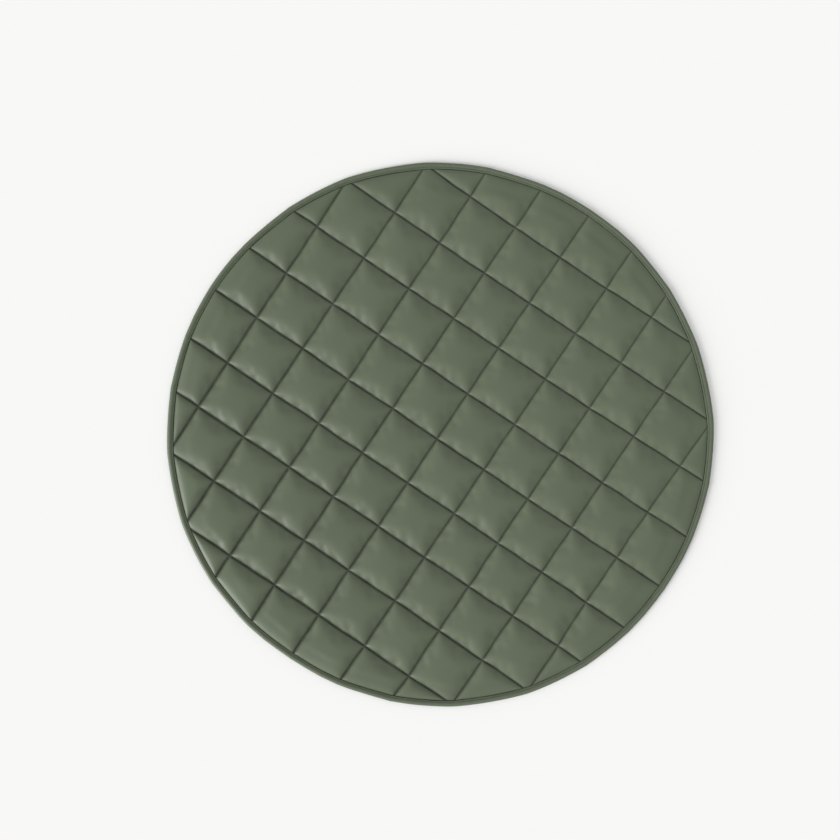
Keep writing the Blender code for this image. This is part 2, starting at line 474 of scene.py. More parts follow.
class Effects:
    """The surface effects that the finishes share, each built once as a node group."""

    def __init__(self) -> None:
        """Builds the three groups."""
        self.grain = self.build_grain()
        self.tone = self.build_tone()
        # painted shade along the seams and at the lip
        self.needle = self.build_seam_and_lip_shade()

    @staticmethod
    def build_grain() -> bpy.types.NodeTree:
        """Fine pebbled grain of a coated cloth, as a height.

        Returns:
            The node group.
        """
        group = EffectNodes("pebbled_grain", Cells_per_metre=900.0, Unevenness=0.5)
        place = group.place()
        cells = group.add(
            "ShaderNodeTexVoronoi",
            {"feature": "SMOOTH_F1"},
            Vector=place,
            Scale=group.source["Cells per metre"],
            Smoothness=0.4,
        )
        cloudy = group.add("ShaderNodeTexNoise", Vector=place, Scale=160.0, Detail=3.0)
        uneven = group.math("MULTIPLY", cloudy["Fac"], group.source["Unevenness"])
        return group.put_out(Height=group.math("SUBTRACT", uneven, cells["Distance"]))

    @staticmethod
    def build_tone() -> bpy.types.NodeTree:
        """Faint uneven tone of dyed cloth, as a colour and as a shift for the roughness.

        Returns:
            The node group.
        """
        group = EffectNodes("uneven_tone", Color=PLAIN_GREY, Amount=0.1, Patches_per_metre=9.0)
        patches = group.add(
            "ShaderNodeTexNoise",
            Vector=group.place(),
            Scale=group.source["Patches per metre"],
            Detail=4.0,
            Roughness=0.6,
        )
        centred = group.math("SUBTRACT", patches["Fac"], 0.5)
        shift = group.math("MULTIPLY", centred, group.source["Amount"])
        return group.put_out(Color=group.scaled_colour(group.math("ADD", shift, 1.0)), Shift=shift)

    @staticmethod
    def build_seam_and_lip_shade() -> bpy.types.NodeTree:
        """Painted shade along a sewn line and at the lip, for the shadow in a seam's groove and in the
        crease at the lip, as a colour and a mask.

        Returns:
            The node group.
        """
        group = EffectNodes("seam_and_lip_shade", Color=PLAIN_GREY, Darkening=0.3, Width=3.0, Lip_width=4.0)
        masks = [
            group.add(
                "ShaderNodeMapRange",
                {"interpolation_type": "SMOOTHSTEP"},
                Value=group.add("ShaderNodeAttribute", {"attribute_name": distance})["Fac"],
                From_Min=0.0,
                From_Max=group.source[width],
                To_Min=1.0,
                To_Max=0.0,
            )[0]
            for distance, width in ((TO_SEAM, "Width"), (TO_LIP, "Lip width"))
        ]
        partly = group.add(
            "ShaderNodeMapRange",
            Value=group.add("ShaderNodeTexNoise", Vector=group.place(), Scale=45.0, Detail=2.0)["Fac"],
            From_Min=0.3,
            From_Max=0.7,
            To_Min=0.7,
            To_Max=1.0,
        )[0]
        near = group.math("MULTIPLY", group.math("MAXIMUM", *masks), partly)
        # painted shade: the colour darkens near a seam and near the lip, where their grooves are in shadow
        loss = group.math("MULTIPLY", near, group.source["Darkening"])
        return group.put_out(Color=group.scaled_colour(group.math("SUBTRACT", 1.0, loss)), Mask=near)


@dataclass(frozen=True)
class CoatedCloth:
    """Smooth leather-like coated cloth with a fine grain.

    The colour is linear. The width of the painted shade at a seam and at the lip is in millimetres.
    """

    name: str
    colour: tuple[float, float, float]
    tone_amount: float = 0.22
    roughness: float = 0.46
    gloss: float = 0.5
    seam_dullness: float = 0.4
    darkening: float = 0.3
    seam_width: float = 3.3
    lip_width: float = 2.0
    grain_depth: float = 0.04 * MM
    grain_strength: float = 0.35

    def material(self, effects: Effects) -> bpy.types.Material:
        """Builds the finish.

        Args:
            effects: the shared node groups.

        Returns:
            A new material.
        """
        nodes = FinishNodes(self.name)
        tone = nodes.effect(effects.tone, Color=(*self.colour, 1.0), Amount=self.tone_amount)
        # painted shade: the base colour is darkened along the seams and at the lip, for the shadow in their
        # grooves
        needle = nodes.effect(
            effects.needle,
            Color=tone["Color"],
            Darkening=self.darkening,
            Width=self.seam_width,
            Lip_width=self.lip_width,
        )
        nodes.fill(nodes.shader["Base Color"], needle["Color"])
        pressed = nodes.math("MULTIPLY_ADD", needle["Mask"], self.seam_dullness, self.roughness)
        nodes.fill(nodes.shader["Roughness"], nodes.math("ADD", tone["Shift"], pressed))
        nodes.shader["Specular IOR Level"].default_value = self.gloss
        grain = nodes.effect(effects.grain)
        nodes.raise_by(grain["Height"], self.grain_strength, self.grain_depth)
        return nodes.material


@dataclass(frozen=True)
class SewingThread:
    """Spun thread dyed to match the cloth. The colour is linear."""

    name: str
    colour: tuple[float, float, float]
    tone_amount: float = 0.4
    patches_per_metre: float = 240.0
    roughness: float = 0.6
    twists_per_metre: float = 1500.0
    twist_depth: float = 0.05 * MM
    twist_strength: float = 0.4

    def material(self, effects: Effects) -> bpy.types.Material:
        """Builds the finish.

        Args:
            effects: the shared node groups.

        Returns:
            A new material.
        """
        nodes = FinishNodes(self.name)
        tone = nodes.effect(
            effects.tone,
            Color=(*self.colour, 1.0),
            Amount=self.tone_amount,
            Patches_per_metre=self.patches_per_metre,
        )
        nodes.fill(nodes.shader["Base Color"], tone["Color"])
        nodes.shader["Roughness"].default_value = self.roughness
        twist = nodes.add(
            "ShaderNodeTexWave",
            {"bands_direction": "DIAGONAL"},
            Vector=nodes.place(),
            Scale=self.twists_per_metre,
            Distortion=0.0,
        )
        nodes.raise_by(twist["Fac"], self.twist_strength, self.twist_depth)
        return nodes.material


@dataclass
class CutGrid:
    """An even grid of cloth cells, cut to a round sheet.

    Attributes:
        lines: even coordinates of the grid's lines, the same both ways.
        cut_radius: cells with their middle further out are left away.
        rim_radius: the points on the cut edge are moved out to it. At 0 they stay in place.
    """

    lines: np.ndarray
    cut_radius: float
    rim_radius: float = 0.0
    x: np.ndarray = field(init=False)
    y: np.ndarray = field(init=False)
    kept: np.ndarray = field(init=False)
    cells: np.ndarray = field(init=False)
    touched: np.ndarray = field(init=False)
    rim: np.ndarray = field(init=False)

    def __post_init__(self) -> None:
        """Works out the cells inside the circle and the points on the cut edge."""
        count = len(self.lines)
        self.x, self.y = np.meshgrid(self.lines, self.lines, indexing="ij")
        middles = (self.lines[1:] + self.lines[:-1]) / 2
        self.kept = np.hypot(*np.meshgrid(middles, middles, indexing="ij")) < self.cut_radius
        number = np.arange(count * count).reshape(count, count)
        corners = (number[:-1, :-1], number[1:, :-1], number[1:, 1:], number[:-1, 1:])
        self.cells = np.stack(corners, -1)[self.kept]
        self.touched = np.bincount(self.cells.ravel(), minlength=count * count).reshape(count, count)
        self.rim = (self.touched > 0) & (self.touched < 4)
        if self.rim_radius > 0.0:
            out = np.where(self.rim, self.rim_radius / np.maximum(self.radius(), MM), 1.0)
            self.x = self.x * out
            self.y = self.y * out

    def radius(self) -> np.ndarray:
        """Distance of each point from the middle of the even cloth."""
        return np.hypot(self.x, self.y)

    def cut_edges(self) -> np.ndarray:
        """Finds the edges on the cut.

        Returns:
            The numbers of the two points of each edge.
        """
        edges = np.concatenate([np.roll(self.cells, turn, 1)[:, :2] for turn in range(4)])
        found, times = np.unique(np.sort(edges, 1), axis=0, return_counts=True)
        return found[times == 1]

    def covers(self, x: np.ndarray, y: np.ndarray) -> np.ndarray:
        """Which of some places lie in the cells that are kept.

        Args:
            x: even coordinates.
            y: even coordinates.

        Returns:
            True where a place lies in such a cell.
        """
        last = len(self.lines) - 2
        cell = [np.clip(np.searchsorted(self.lines, part) - 1, 0, last) for part in (x, y)]
        return self.kept[cell[0], cell[1]]


@dataclass
class QuiltedPad:
    """The filled pad: a puffed face, flat squares underneath and sewn channels on both sides.

    Lengths are in metres, apart from the steps, the circles and beside_seam in millimetres.
    """

    lay: ClothLay
    cloth: CoatedCloth

    # Heights of the face, and how it rises from its seams and from the lip of the binding
    crown_top: float = 9.8 * MM
    channel_top: float = 3.0 * MM
    shoulder: float = 13 * MM
    shoulder_power: float = 1.1
    mitre: float = 2.5
    least_swelling: float = 1e-4
    fuller_bearing: float = 240.0
    fuller: float = 0.28
    uneven_fill: Ripple = Ripple(5, 70 * MM, 200 * MM, 0.05)
    rim_top: float = 4.2 * MM
    hidden_reach: float = 6 * MM
    lip_radius: float = 435 * MM
    lip_level: float = 3.3 * MM
    lip_reach: float = 12 * MM
    lip_shoulder: float = 16 * MM
    lip_fullness: float = 1.1
    lip_fade: float = 3 * MM

    # Small relief along the seams and the lip
    seam_waver: Ripple = Ripple(3, 18 * MM, 60 * MM, 0.25 * MM)
    pucker: Ripple = Ripple(6, 13 * MM, 36 * MM, 0.06 * MM)
    pucker_reach: float = 8 * MM
    rim_ripple: Ripple = Ripple(4, 9 * MM, 24 * MM, 0.22 * MM)
    rim_ripple_reach: float = 16 * MM
    groove_depth: float = 0.6 * MM
    groove_width: float = 1.2 * MM

    # The painted shade along the seams, for the shadow in their grooves
    wider_line: float = 0.25
    crosswise_spread: float = 0.6
    crosswise_fainter: float = 1.0 * MM
    crossing_clear: float = 0.8 * MM
    crossing_fade: float = 2.24 * MM
    uneven_fade: Ripple = Ripple(9, 90 * MM, 300 * MM, 1.6 * MM)
    least_fade: float = 0.3 * MM

    # The underside
    under_channel: float = 1.5 * MM
    under_reach: float = 5 * MM
    under_uneven: Ripple = Ripple(8, 15 * MM, 50 * MM, 0.3)
    rim_bottom: float = 1.4 * MM
    slope_width: float = 6 * MM

    # How the cloth is cut into cells
    face_steps: tuple[float, ...] = (0.8, 1.8, 3.2, 5.2, 8, 11.6, 15.8, 20.4, 25.1, 29.8, 34.6, 39.4)
    under_steps: tuple[float, ...] = (1.4, 3.2, 5.6, 9, 16, 29)
    cells_radius: float = 421 * MM
    band_radius: float = 433 * MM
    rim_radius: float = 443.1 * MM
    cut_inside_rim: float = 5 * MM
    circles: tuple[float, ...] = (427, 429, 430.8, 432.3, 433.5, 434.4, 435, 435.8, 437.3, 439.6, 443.1)
    points_round: int = 900
    beside_seam: tuple[float, ...] = (-3.2, -1.8, -0.8, 0.0, 0.8, 1.8, 3.2)
    clear_of_seam: float = 4.4 * MM
    same_point: float = MM / 1000

    # The cloth simulation that swells the face
    sim_cells: int = 16
    sim_grading: float = 0.25
    sim_frames: int = 30
    slack: float = 0.006
    most_moved: float = 5 * MM
    settled_reach: float = 12 * MM

    # The grid of each side and the real places of its points, once they are laid out
    sides: dict[Side, tuple[CutGrid, np.ndarray]] = field(init=False)

    def square_lines(self, steps: tuple[float, ...]) -> np.ndarray:
        """Shares of the pitch at which a square is cut, from its distances to the seam in mm."""
        near = np.array([0.0, *steps]) * MM / self.lay.pitch
        return np.concatenate([near, [0.5], 1 - near[:0:-1]])

    def all_lines(self, shares: np.ndarray) -> np.ndarray:
        """Even coordinates of the lines of all the squares.

        Args:
            shares: where one square is cut, as shares of the pitch.

        Returns:
            The coordinates, in order.
        """
        squares = np.arange(-self.lay.squares_past_middle, self.lay.squares_past_middle)
        lines = (squares[:, None] + shares[None]).ravel() * self.lay.pitch
        return np.append(lines, self.lay.squares_past_middle * self.lay.pitch)

    def cut(self, lines: np.ndarray) -> CutGrid:
        """Cuts a grid to the round pad."""
        return CutGrid(lines, self.rim_radius - self.cut_inside_rim, self.rim_radius)

    def swelling(self, distance: np.ndarray) -> np.ndarray:
        """How full the cloth stands at a distance from a seam, 0 on it and 1 midway.

        Args:
            distance: distances from a seam of one direction.

        Returns:
            The fullness, never quite 0.
        """
        reach = self.shoulder
        middle = 1 - np.exp(-((self.lay.pitch / 2 / reach) ** self.shoulder_power))
        full = 1 - np.exp(-((distance / reach) ** self.shoulder_power))
        return np.maximum(full / middle, self.least_swelling)

    def fuller_side(self, x: np.ndarray, y: np.ndarray) -> np.ndarray:
        """1 at the rim of the side that is filled fuller, 0 at the middle and -1 opposite."""
        towards = radians(self.fuller_bearing)
        return (x * cos(towards) + y * sin(towards)) / self.lay.radius

    def near_seam(self, x: np.ndarray, y: np.ndarray, width: float) -> np.ndarray:
        """1 on a seam, falling to 0 some widths away."""
        near = [bell(self.lay.to_seam(part), width) for part in (x, y)]
        return 1 - (1 - near[0]) * (1 - near[1])

    def rough_height(self, x: np.ndarray, y: np.ndarray) -> np.ndarray:
        """Height of the face by rule: squares with rounded shoulders and mitred corners.

        Args:
            x: even coordinates.
            y: even coordinates.

        Returns:
            Heights above the floor.
        """
        to_lip = self.lip_radius - np.hypot(x, y)
        level = self.channel_top + self.seam_waver.at(x, y)
        by_seam = self.near_seam(x, y, self.pucker_reach) - self.near_seam(x, y, self.groove_width)
        level += self.pucker.at(x, y) * by_seam
        level += (self.lip_level - level) * ease(1 - to_lip / self.lip_reach)
        gathered = ease(to_lip / self.lip_fade) * np.exp(-np.maximum(to_lip, 0.0) / self.rim_ripple_reach)
        level += self.rim_ripple.at(x, y) * gathered
        level += (self.rim_top - self.lip_level) * ease(-to_lip / self.hidden_reach)
        held = [self.swelling(self.lay.to_seam(part)) for part in (x, y)]
        by_lip = self.lip_fullness - self.lip_fullness * np.exp(-to_lip / self.lip_shoulder)
        held.append(np.maximum(by_lip, self.least_swelling))
        rise = sum(part**-self.mitre for part in held) ** (-1 / self.mitre)
        most = (2 + self.lip_fullness**-self.mitre) ** (-1 / self.mitre)
        fill = 1 + self.fuller * self.fuller_side(x, y)
        fill += self.uneven_fill.at(x, y)
        return level + (self.crown_top - level) * rise / most * fill

    def groove(self, x: np.ndarray, y: np.ndarray) -> np.ndarray:
        """How deep the stitched line is pressed into each seam, up to the hidden rim."""
        hidden = ease((np.hypot(x, y) - self.lip_radius) / self.lip_fade)
        return self.groove_depth * self.near_seam(x, y, self.groove_width) * (1 - hidden)

    def to_seam_shade(self, x: np.ndarray, y: np.ndarray) -> np.ndarray:
        """Distance to the painted shade of a seam, measured shorter where the filling is fuller, so that the
        painted shade is wider where the deeper groove lies in more shadow.

        The crosswise lines are broader and fainter, and fade out at each crossing.

        Args:
            x: even coordinates.
            y: even coordinates.

        Returns:
            Distances in metres.
        """
        lengthwise = self.lay.to_seam(y)
        reach = self.crossing_fade + self.uneven_fade.at(x, y)
        fade = 1 - ease((lengthwise - self.crossing_clear) / np.maximum(reach, self.least_fade))
        crosswise = self.crosswise_spread * self.lay.to_seam(x) + self.crosswise_fainter
        nearest = np.minimum(lengthwise, crosswise + fade * reach)
        return nearest * (1 - self.wider_line * self.fuller_side(x, y))

    def inflate(self, grid: CutGrid) -> np.ndarray:
        """Swells the face between its seams with Blender's cloth simulation.

        Args:
            grid: the coarse grid of the face cloth.

        Returns:
            The real place of each point of the grid.
        """
        places = self.lay.lie(grid.x, grid.y, self.rough_height(grid.x, grid.y))
        flat = places.reshape(-1, 3)
        used, corners = np.unique(grid.cells, return_inverse=True)
        cloth = new_object(
            "face_cloth", new_mesh("face_cloth", flat[used], corners.reshape(-1, 4).tolist())
        )
        to_seam = np.minimum(self.lay.to_seam(grid.x), self.lay.to_seam(grid.y))
        held = (to_seam < TOUCHING) | (grid.radius() > self.band_radius)
        sewn = cloth.vertex_groups.new(name=SEWN_GROUP)
        sewn.add(np.flatnonzero(held.ravel()[used]).tolist(), 1.0, "REPLACE")
        self.set_up_cloth(cloth)
        scene = bpy.context.scene
        for number in range(1, self.sim_frames + 1):
            scene.frame_set(number)
        settled = cloth.evaluated_get(bpy.context.evaluated_depsgraph_get()).to_mesh()
        swollen = np.empty(len(used) * 3, np.float32)
        settled.vertices.foreach_get("co", swollen)
        bpy.data.objects.remove(cloth, do_unlink=True)
        scene.frame_set(1)
        moved = swollen.reshape(-1, 3) - flat[used]
        length = np.maximum(np.linalg.norm(moved, axis=1, keepdims=True), TOUCHING)
        flat[used] += moved * np.minimum(1.0, self.most_moved / length)
        return places

    def set_up_cloth(self, cloth: bpy.types.Object) -> None:
        """Gives the face cloth its stiffness, its slack and the filling's pressure.

        Args:
            cloth: the face cloth's object.
        """
        modifier = cloth.modifiers.new("Cloth", "CLOTH")
        settings = modifier.settings
        settings.quality = 5
        settings.mass = 0.3
        settings.tension_stiffness = 15
        settings.compression_stiffness = 15
        settings.shear_stiffness = 5
        settings.bending_stiffness = 0.5
        settings.bending_damping = 0.5
        settings.use_pressure = True
        settings.uniform_pressure_force = 3
        settings.shrink_min = -self.slack
        settings.shrink_max = -self.slack
        settings.vertex_group_mass = SEWN_GROUP
        settings.effector_weights.gravity = 0
        modifier.collision_settings.use_collision = False

    @staticmethod
    def spline_weights(coarse: np.ndarray, fine: np.ndarray) -> np.ndarray:
        """Weights that turn values at coarse places into smooth values at fine ones.

        Args:
            coarse: places of the known values, in order.
            fine: places of the wanted values.

        Returns:
            One row of weights for each wanted value.
        """
        known = np.eye(len(coarse))
        slope = np.gradient(known, coarse, axis=0, edge_order=2)
        piece = np.clip(np.searchsorted(coarse, fine, side="right") - 1, 0, len(coarse) - 2)
        step = (coarse[piece + 1] - coarse[piece])[:, None]
        share = (fine - coarse[piece])[:, None] / step
        return (
            (1 + 2 * share) * (1 - share) ** 2 * known[piece]
            + share * (1 - share) ** 2 * step * slope[piece]
            + share**2 * (3 - 2 * share) * known[piece + 1]
            + share**2 * (share - 1) * step * slope[piece + 1]
        )

    def refine(self, values: np.ndarray, weights: np.ndarray) -> np.ndarray:
        """Smooths values along the first axis, square by square, with a crease at each seam.

        Args:
            values: values on the coarse grid.
            weights: the weights from spline_weights, for one square.

        Returns:
            Values on the fine lines along that axis.
        """
        coarse = weights.shape[1] - 1
        starts = range(0, 2 * self.lay.squares_past_middle * coarse, coarse)
        parts = [np.tensordot(weights, values[start : start + coarse + 1], 1) for start in starts]
        return np.concatenate([part[:-1] for part in parts] + [parts[-1][-1:]])

    def face(self) -> tuple[CutGrid, np.ndarray]:
        """Lays out the face, swelled between its seams.

        Returns:
            The face's fine grid and the real place of each of its points.
        """
        shares = self.square_lines(self.face_steps)
        grid = CutGrid(self.all_lines(shares), self.cells_radius)
        places = self.lay.lie(grid.x, grid.y, self.rough_height(grid.x, grid.y))
        even = np.arange(self.sim_cells + 1) / self.sim_cells
        graded = even - self.sim_grading * np.sin(2 * pi * even) / (2 * pi)
        coarse = self.inflate(self.cut(self.all_lines(graded[:-1])))
        weights = self.spline_weights(graded, np.append(shares, 1.0))
        swollen = self.refine(coarse, weights)
        swollen = self.refine(swollen.swapaxes(0, 1), weights).swapaxes(0, 1)
        from_edge = self.cells_radius - self.settled_reach / 2 - grid.radius()
        places += (swollen - places) * ease(from_edge / self.settled_reach)[..., None]
        places[..., 2] -= self.groove(grid.x, grid.y)
        return grid, places

    def underside(self) -> tuple[CutGrid, np.ndarray]:
        """Lays out the underside, with flat squares on the floor and soft channels.

        Returns:
            The grid and the real place of each of its points.
        """
        grid = self.cut(self.all_lines(self.square_lines(self.under_steps)))
        uneven = 1 + self.under_uneven.at(grid.x, grid.y)
        channel = self.under_channel * self.near_seam(grid.x, grid.y, self.under_reach) * uneven
        to_rim = ease((grid.radius() - self.band_radius + self.slope_width) / self.slope_width)
        height = channel + (self.rim_bottom - channel) * to_rim
        return grid, self.lay.lie(grid.x, grid.y, np.where(grid.rim, self.rim_bottom, height))

    def channel_ends(self, grid: CutGrid) -> list[tuple[int, np.ndarray]]:
        """Carries the grid lines beside each seam on to the circles of the rim.

        Args:
            grid: the face's grid.

        Returns:
            For each end of a line the number of its last grid point, and its points on the circles.
        """
        circles = np.array(self.circles) * MM
        count = len(grid.lines)
        ends = []
        for line in (self.lay.even_seams()[:, None] + np.array(self.beside_seam) * MM).ravel():
            row = int(np.argmin(np.abs(grid.lines - line)))
            along = np.flatnonzero(grid.touched[row])
            there = np.full(len(circles), line)
            for sign, last in ((-1, along[0]), (1, along[-1])):
                out = sign * np.sqrt(circles**2 - line**2)
                ends.append((row * count + last, np.stack([there, out], -1)))
                ends.append((last * count + row, np.stack([out, there], -1)))
        return ends

    def rim_band(self, grid: CutGrid) -> tuple[np.ndarray, np.ndarray, np.ndarray]:
        """Fills the ring between the square cells and the rim with triangles on round lines.

        Args:
            grid: the face's grid.

        Returns:
            Even coordinates of the new points, as two arrays, and the triangles. Their numbers
            are those of the grid's points and then those of the new ones.
        """
        loop, pairs = np.unique(grid.cut_edges(), return_inverse=True)
        points = np.stack([grid.x.ravel()[loop], grid.y.ravel()[loop]], -1).tolist()
        edges = pairs.reshape(-1, 2).tolist()
        for start, chain in self.channel_ends(grid):
            chained = [int(np.searchsorted(loop, start)), *range(len(points), len(points) + len(chain))]
            edges += list(zip(chained, chained[1:]))
            points += chain.tolist()
        around = circle_points(self.points_round)
        for circle in self.circles:
            ring = around * circle * MM
            from_seams = np.abs(ring[:, :, None] - self.lay.even_seams()).min((1, 2))
            points += ring[from_seams > self.clear_of_seam].tolist()
        made, _, triangles, origins, _, _ = delaunay_2d_cdt(points, edges, [], 0, self.same_point)
        x, y = np.array([tuple(point) for point in made]).T
        number = grid.x.size + np.arange(len(made))
        for place, origin in enumerate(origins):
            if origin and origin[0] < len(loop):
                number[place] = loop[origin[0]]
        corners = np.array(triangles)
        outside = ~grid.covers(x[corners].mean(1), y[corners].mean(1))
        return x, y, number[corners[outside]]

    def closed_mesh(self) -> bpy.types.Mesh:
        """Joins the face, the band at the rim and the underside into one closed mesh.

        Returns:
            The mesh, with its distances for the finish.
        """
        (face, face_places), (under, under_places) = self.sides.values()
        band_x, band_y, triangles = self.rim_band(face)
        band_height = self.rough_height(band_x, band_y) - self.groove(band_x, band_y)
        band_places = self.lay.lie(band_x, band_y, band_height)
        x = np.concatenate([face.x.ravel(), band_x, under.x.ravel()])
        y = np.concatenate([face.y.ravel(), band_y, under.y.ravel()])
        points = np.concatenate([face_places.reshape(-1, 3), band_places, under_places.reshape(-1, 3)])
        cells = np.concatenate([face.cells, under.cells[:, ::-1] + face.x.size + len(band_x)])
        used = np.unique(np.concatenate([cells.ravel(), triangles.ravel()]))
        number = np.zeros(len(points), int)
        number[used] = np.arange(len(used))
        faces = number[cells].tolist() + number[triangles].tolist()
        mesh = new_mesh(PAD_NODE + "_cloth", points[used], faces)
        # these distances place the painted shade along the seams and at the lip
        add_distance(mesh, TO_SEAM, self.to_seam_shade(x, y)[used] / MM)
        add_distance(mesh, TO_LIP, (self.lip_radius - np.hypot(x, y))[used] / MM)
        bm = bmesh.new()
        bm.from_mesh(mesh)
        bmesh.ops.bridge_loops(bm, edges=[edge for edge in bm.edges if edge.is_boundary])
        bmesh.ops.recalc_face_normals(bm, faces=bm.faces)
        bm.to_mesh(mesh)
        bm.free()
        return mesh

    def build(self, effects: Effects) -> bpy.types.Object:
        """Builds the closed pad and dresses it.

        Args:
            effects: the shared node groups.

        Returns:
            The pad, riding on the mat's body.
        """
        self.sides = {Side.FACE: self.face(), Side.UNDERSIDE: self.underside()}
        pad = new_piece("padded_squares", self.closed_mesh(), self.cloth.material(effects))
        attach(pad, BODY)
        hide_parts(PAD_NODE)
        return pad


@dataclass
class EdgeBinding:
    """The binding: a strip folded over the rim, rolled at the edge and stitched near its lip."""

    lay: ClothLay
    cloth: CoatedCloth
    width: float = 10.0 * MM
    stitches: int = 780
    stitch_from_lip: float = 2.4 * MM
    stitch_pull: float = 0.16 * MM
    pull_reach: float = 0.9 * MM
    gathers: Ripple = Ripple(21, 7 * MM, 26 * MM)
    sway: Ripple = Ripple(22, 60 * MM, 240 * MM)
    roll_middle: float = 4.0 * MM
    roll_reach: float = 3.0 * MM
    roll_gather: float = 0.22 * MM
    roll_sway: float = 0.14 * MM
    lip_reach: float = 1.6 * MM
    lip_gather: float = 0.25 * MM
    lip_sway: float = 0.45 * MM
    points: np.ndarray = field(init=False)

    @staticmethod
    def section() -> np.ndarray:
        """The folded strip's section in metres, as rows of in from the edge and up."""
        return np.array(SHOWN_SECTION + HIDDEN_SECTION) * MM

    def from_stitches(self) -> np.ndarray:
        """Distance of each point of the section, along the face, from the stitched line."""
        return np.abs(self.section()[:, 0] - (self.width - self.stitch_from_lip))

    def build(self, effects: Effects) -> bpy.types.Object:
        """Builds the ring and dresses it.

        Args:
            effects: the shared node groups.

        Returns:
            The binding, riding on the mat's body.
        """
        self.points = self.ring()
        shape = self.points.shape[:2]
        number = np.arange(shape[0] * shape[1]).reshape(shape)
        after = np.roll(number, -1, 0)
        corners = (number, np.roll(number, -1, 1), np.roll(after, -1, 1), after)
        cells = np.stack(corners, -1).reshape(-1, 4).tolist()
        mesh = new_mesh(BINDING_NODE + "_cloth", self.points, cells)
        # painted shade along the binding's stitched line, for the shadow of its groove, and none at the lip
        add_distance(mesh, TO_SEAM, np.broadcast_to(self.from_stitches() / MM, shape))
        add_distance(mesh, TO_LIP, np.full(shape, OUT_OF_REACH))
        binding = new_piece("folded_binding", mesh, self.cloth.material(effects))
        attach(binding, BODY)
        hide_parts(BINDING_NODE)
        return binding

    def ring(self) -> np.ndarray:
        """Sweeps the section round the rim, two rings to a stitch.

        The gathers of a straight strip sewn round a curve and the pull of each stitch are added.

        Returns:
            The real place of each point, for each ring and each turn of the section.
        """
        around = circle_points(2 * self.stitches)[:, :, None]
        rim = self.lay.radius * around
        gathers = self.gathers.at(rim[:, 0], rim[:, 1])
        sway = self.sway.at(rim[:, 0], rim[:, 1])
        inward, height = self.section().T
        shown = np.arange(len(inward)) < len(SHOWN_SECTION)
        roll = bell(inward - self.roll_middle, self.roll_reach) * shown
        lip = bell(inward - self.width, self.lip_reach) * shown
        needle = np.where(np.arange(len(around)) % 2 == 0, 1.0, 0.0)[:, None]
        pulled = self.stitch_pull * needle * bell(self.from_stitches(), self.pull_reach) * shown
        height = height + (self.roll_gather * gathers + self.roll_sway * sway) * roll - pulled
        inward = inward + (self.lip_gather * gathers + self.lip_sway * sway) * lip
        radius = self.lay.radius - inward
        return self.lay.lie(radius * around[:, 0], radius * around[:, 1], height)

    def stitched_line(self, side: Side) -> np.ndarray:
        """Points round the stitched line of one side, closed.

        Args:
            side: the side of the mat.

        Returns:
            The points in order, with the first one again at the end.
        """
        columns = np.flatnonzero(self.from_stitches() < TOUCHING)
        path = self.points[:, columns[0 if side is Side.FACE else -1]]
        return np.concatenate([path, path[:1]])


@dataclass
class StitchLine:
    """A run of stitches, each a short bowed thread that dives into the cloth at both ends.

    The stations are shares of a stitch's length, and thinning has the share of its thickness at
    each of them.
    """

    length: float = 3.2 * MM
    thickness: float = 0.48 * MM
    bow: float = 0.3 * MM
    lift: float = 0.12 * MM
    hidden_at_crossing: float = 2.2 * MM
    corners: int = 6
    stations: tuple[float, ...] = (-0.5, -0.3, 0.0, 0.3, 0.5)
    thinning: tuple[float, ...] = (0.55, 0.95, 1.0, 0.95, 0.55)
    places: list[np.ndarray] = field(default_factory=list)
    along: list[np.ndarray] = field(default_factory=list)

    def add_run(self, path: np.ndarray, pitch: float, from_crossing: np.ndarray | None = None) -> None:
        """Sets stitches along a path.

        Args:
            path: points along the seam, in order.
            pitch: distance from one stitch to the next.
            from_crossing: distance of each point to the seam that it crosses next. Close to it,
                where the cloth closes over the thread, there are no stitches.
        """
        travel = np.concatenate([[0.0], np.cumsum(np.linalg.norm(np.diff(path, axis=0), axis=1))])
        middles = (np.arange(int(travel[-1] / pitch)) + 0.5) * pitch
        if from_crossing is not None:
            middles = middles[np.interp(middles, travel, from_crossing) > self.hidden_at_crossing]
        first, last = (
            np.stack([np.interp(middles + end, travel, path[:, axis]) for axis in range(3)], -1)
            for end in (-self.length / 2, self.length / 2)
        )
        self.places.append((first + last) / 2)
        self.along.append((last - first) / np.linalg.norm(last - first, axis=1, keepdims=True))

    def template(self) -> tuple[np.ndarray, list[list[int]]]:
        """Shapes one stitch along X, with its bow up.

        Returns:
            Its points and its faces.
        """
        station = np.array(self.stations)[:, None]
        around = circle_points(self.corners)
        radius = np.array(self.thinning)[:, None] * self.thickness / 2
        height = radius * around[:, 1] - self.bow * (2 * station) ** 2
        along = np.broadcast_to(station * self.length, height.shape)
        points = np.stack([along, radius * around[:, 0], height], -1).reshape(-1, 3)
        number = np.arange(len(points)).reshape(-1, self.corners)
        beside = np.roll(number, -1, 1)
        walls = np.stack([number[:-1], number[1:], beside[1:], beside[:-1]], -1).reshape(-1, 4)
        return points, [*walls.tolist(), number[0].tolist(), number[-1, ::-1].tolist()]

    def build(self, name: str, side: Side, slot: str, material: bpy.types.Material) -> None:
        """Joins all the stitches into one piece.

        Args:
            name: the piece's name.
            side: the side of the mat that the stitches show on.
            slot: not used.
            material: the thread's finish.
        """
        up = np.array([0.0, 0.0, float(side.value)])
        middles = np.concatenate(self.places) + self.lift * up
        along = np.concatenate(self.along)
        across = np.cross(up, along)
        across /= np.linalg.norm(across, axis=1, keepdims=True)
        template, faces = self.template()
        axes = np.stack([along, across, np.cross(along, across)], 1)
        points = middles[:, None] + np.einsum("pk,nkc->npc", template, axes)
        offsets = range(0, len(middles) * len(template), len(template))
        all_faces = [[corner + offset for corner in face] for offset in offsets for face in faces]
        thread = new_piece(name, new_mesh(name, points, all_faces), material)
        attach(thread, BODY)
        log.info("%s: %d stitches", name, len(middles))


